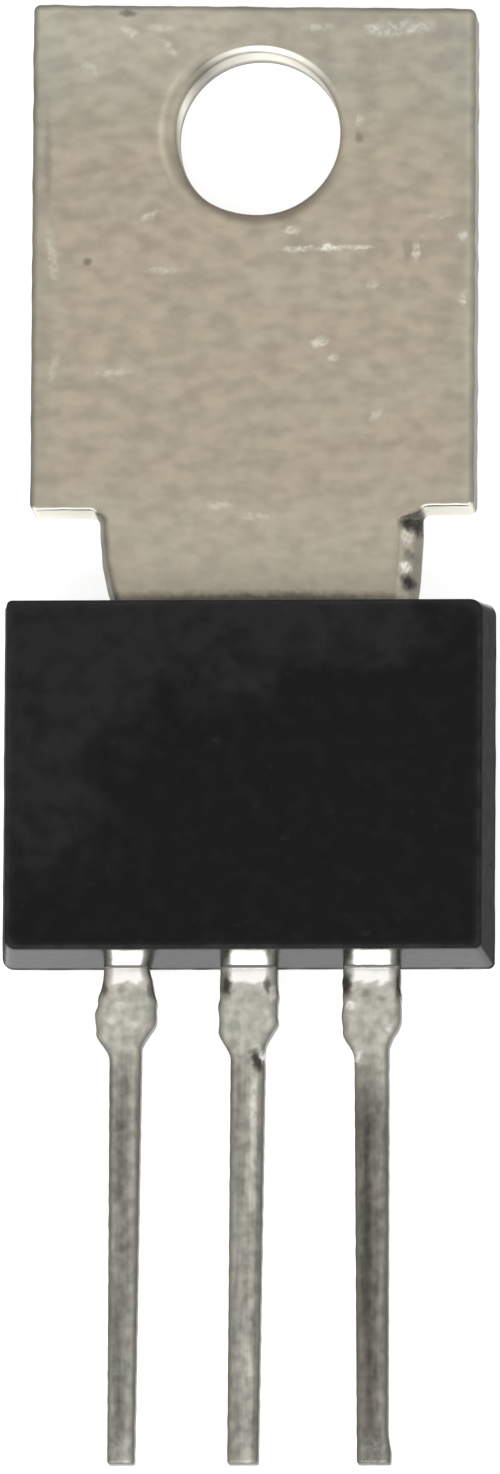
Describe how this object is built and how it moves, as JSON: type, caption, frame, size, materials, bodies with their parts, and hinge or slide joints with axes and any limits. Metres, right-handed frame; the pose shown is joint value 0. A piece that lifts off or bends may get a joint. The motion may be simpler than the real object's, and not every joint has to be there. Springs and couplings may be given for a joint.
{
  "type": "power transistor",
  "caption": "Three-lead power transistor with a thick drilled mounting tab, a drafted black moulded body and flat stamped leads.",
  "frame": {"origin": "centre of the mounting hole on the back face, where the tab lies on a heat sink", "axes": "+Z out of the marked front face, +Y towards the tab's free end with the leads towards -Y, +X to the right seen from the front"},
  "size_m": [0.0102, 0.0308, 0.0046],
  "materials": {
    "epoxy": "satin black moulded epoxy",
    "plated_frame": "dull plated copper with a fine rolled grain",
    "tinned_lead": "solder-dipped copper",
    "silicon": "polished silicon with metal contacts",
    "solder": "soft solder",
    "bond_wire": "drawn wire"
  },
  "bodies": {
    "root": {"package_body": "epoxy", "collector_frame": "plated_frame", "emitter_lead": "tinned_lead", "base_lead": "tinned_lead", "silicon_die": "silicon", "die_solder": "solder", "emitter_bond_wire": "bond_wire", "base_bond_wire": "bond_wire"}
  },
  "joints": []
}
